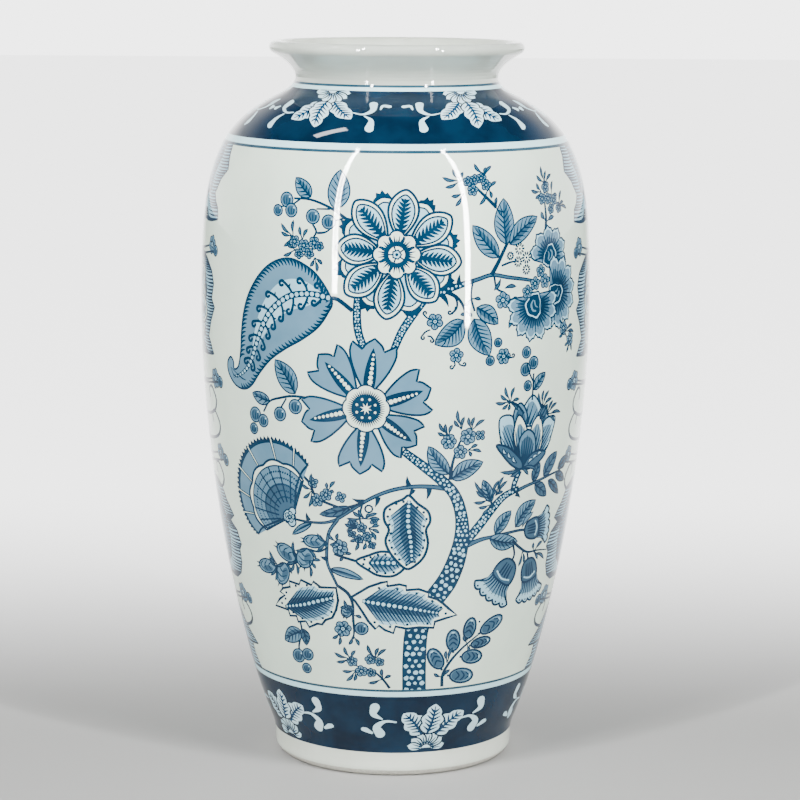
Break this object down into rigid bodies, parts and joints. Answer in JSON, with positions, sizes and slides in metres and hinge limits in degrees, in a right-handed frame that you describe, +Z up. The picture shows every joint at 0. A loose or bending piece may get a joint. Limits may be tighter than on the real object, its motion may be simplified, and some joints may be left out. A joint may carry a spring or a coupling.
{
  "type": "ceramic vase",
  "caption": "Tall shouldered ceramic vase with a short flared neck, rolled lip and turned foot, painted in cobalt under clear glaze.",
  "frame": {"origin": "centre of the foot, on the surface the vase stands on", "axes": "+Z up along the axis the vase turns about; -Y towards the painted front, +X to the right of it"},
  "size_m": [0.1928, 0.1928, 0.356],
  "materials": {
    "bare_clay": "unglazed, matt",
    "clay_body": "fired clay under glaze",
    "slip_joint": "fired slip under glaze",
    "clear_glaze": "glossy, faint grey-green",
    "cobalt_glaze": "glossy dark cobalt wash",
    "pale_blue_glaze": "glossy pale blue",
    "line_blue_glaze": "glossy blue line"
  },
  "bodies": {
    "root": {"foot_ring": "bare_clay", "base_slab": "clay_body", "lower_body": "clay_body", "upper_body": "clay_body", "neck_collar": "clay_body", "rolled_lip": "clay_body", "base_lute": "slip_joint", "waist_lute": "slip_joint", "shoulder_lute": "slip_joint", "neck_lute": "slip_joint", "inner_glaze": "clear_glaze", "underside_glaze": "clear_glaze", "foot_glaze": "clear_glaze", "panel_glaze": "clear_glaze", "neck_glaze": "clear_glaze", "foot_band": "cobalt_glaze", "shoulder_band": "cobalt_glaze", "pale_rings": "pale_blue_glaze", "ring_lines": "line_blue_glaze"}
  },
  "joints": []
}
